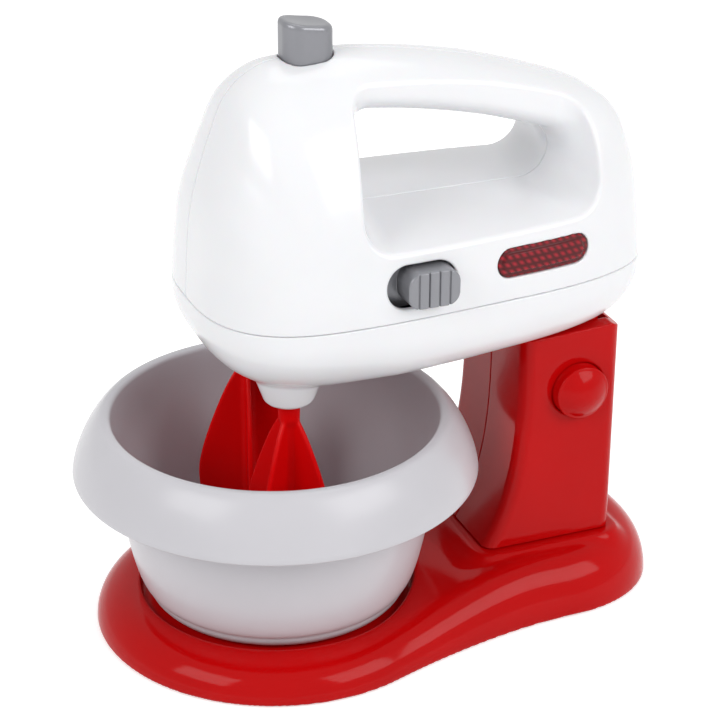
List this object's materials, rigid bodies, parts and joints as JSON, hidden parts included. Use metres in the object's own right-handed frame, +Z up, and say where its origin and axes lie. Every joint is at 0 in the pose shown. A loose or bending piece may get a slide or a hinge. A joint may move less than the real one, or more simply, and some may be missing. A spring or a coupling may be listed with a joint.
{
  "type": "toy stand mixer",
  "caption": "Toy stand mixer: a white hand mixer with two leaf beaters tilts on a red stand above a pale grey bowl with a wide flange.",
  "frame": {"origin": "on the floor, in the middle of the toy's footprint", "axes": "+Z up, -X towards the bowl and the nose, -Y towards the switch and the release button"},
  "size_m": [0.202, 0.135, 0.2097],
  "materials": {
    "white_gloss": "gloss",
    "red_gloss": "gloss",
    "bowl_grey": "satin",
    "control_grey": "satin",
    "lens_red": "gloss",
    "dark_plastic": "matte",
    "natural_plastic": "satin",
    "brass": "satin",
    "rubber": "matte",
    "cell_wrap": "satin",
    "board_green": "matte",
    "steel": "satin"
  },
  "bodies": {
    "stand": {"base_shell": "red_gloss", "base_plate": "red_gloss", "foot_1": "rubber", "foot_2": "rubber", "foot_3": "rubber", "foot_4": "rubber", "base_screw_1": "steel", "base_screw_2": "steel", "base_screw_3": "steel", "base_screw_4": "steel", "column_left": "red_gloss", "column_right": "red_gloss", "column_screw_1": "steel", "column_screw_2": "steel", "column_foot_screw_left": "steel", "column_foot_screw_right": "steel", "hinge_pin": "steel", "release_spring": "steel"},
    "release": {"release_button": "red_gloss", "release_latch": "natural_plastic"},
    "cradle": {"tilt_cradle": "red_gloss"},
    "head": {"housing_left": "white_gloss", "housing_right": "white_gloss", "housing_tray": "white_gloss", "power_lens": "lens_red", "lamp": "lens_red", "lamp_board": "board_green", "switch_body": "dark_plastic", "housing_screw_1": "steel", "housing_screw_2": "steel", "housing_screw_3": "steel", "tray_screw_left": "steel", "tray_screw_right": "steel", "battery_box": "dark_plastic", "cell_left": "cell_wrap", "cell_right": "cell_wrap", "contact_left": "steel", "contact_right": "steel", "contact_bridge": "steel", "motor": "steel", "gear_plate": "natural_plastic", "gear_plate_screw_left": "steel", "gear_plate_screw_right": "steel", "bushing_left": "brass", "bushing_right": "brass", "eject_spring": "steel"},
    "switch": {"switch_knob": "control_grey"},
    "door": {"battery_door": "white_gloss", "battery_door_screw": "steel"},
    "drive_right": {"spindle_right": "steel", "worm_wheel_right": "natural_plastic"},
    "drive_left": {"spindle_left": "steel", "worm_wheel_left": "natural_plastic"},
    "worm_shaft": {"worm": "natural_plastic"},
    "eject": {"eject_button": "control_grey", "eject_fork": "natural_plastic"},
    "beater_l": {"beater_left": "red_gloss"},
    "beater_r": {"beater_right": "red_gloss"},
    "bowl": {"bowl": "bowl_grey"}
  },
  "joints": [
    {"name": "head_tilt", "type": "hinge", "parent": "stand", "child": "cradle", "pos_m": [0.0746, 0, 0.0935], "axis": [0, 1, 0], "range_deg": [0, 30]},
    {"name": "mixer_lift", "type": "slide", "parent": "cradle", "child": "head", "axis": [0, 0, 1], "range_m": [0, 0.014]},
    {"name": "bowl_lift", "type": "slide", "parent": "stand", "child": "bowl", "axis": [0, 0, 1], "range_m": [0, 0.006]},
    {"name": "release_press", "type": "slide", "parent": "stand", "child": "release", "axis": [0, 1, 0], "range_m": [0, 0.004], "stiffness_N_per_m": 300, "springref_m": -0.002, "deforming": ["release_spring"]},
    {"name": "eject_press", "type": "slide", "parent": "head", "child": "eject", "axis": [0, 0, -1], "range_m": [0, 0.005], "stiffness_N_per_m": 400, "springref_m": -0.002, "deforming": ["eject_spring"]},
    {"name": "switch_slide", "type": "slide", "parent": "head", "child": "switch", "axis": [-1, 0, 0], "range_m": [0, 0.004]},
    {"name": "door_off", "type": "slide", "parent": "head", "child": "door", "axis": [0, 0, -1], "range_m": [0, 0.008]},
    {"name": "right_spin", "type": "hinge", "parent": "head", "child": "drive_right", "pos_m": [-0.036, 0.02, 0.09], "axis": [0, 0, 1], "continuous": true},
    {"name": "left_spin", "type": "hinge", "parent": "head", "child": "drive_left", "pos_m": [-0.036, -0.02, 0.09], "axis": [0, 0, 1], "continuous": true},
    {"name": "motor_spin", "type": "hinge", "parent": "head", "child": "worm_shaft", "pos_m": [-0.036, 0, 0.126], "axis": [1, 0, 0], "continuous": true},
    {"name": "left_beater_eject", "type": "slide", "parent": "drive_left", "child": "beater_l", "axis": [0, 0, -1], "range_m": [0, 0.005]},
    {"name": "right_beater_eject", "type": "slide", "parent": "drive_right", "child": "beater_r", "axis": [0, 0, -1], "range_m": [0, 0.005]}
  ],
  "couplings": [
    {"joint": "left_spin", "follows": "right_spin", "ratio": -1},
    {"joint": "motor_spin", "follows": "right_spin", "ratio": -30},
    {"joint": "left_beater_eject", "follows": "eject_press", "ratio": 1},
    {"joint": "right_beater_eject", "follows": "eject_press", "ratio": 1}
  ]
}
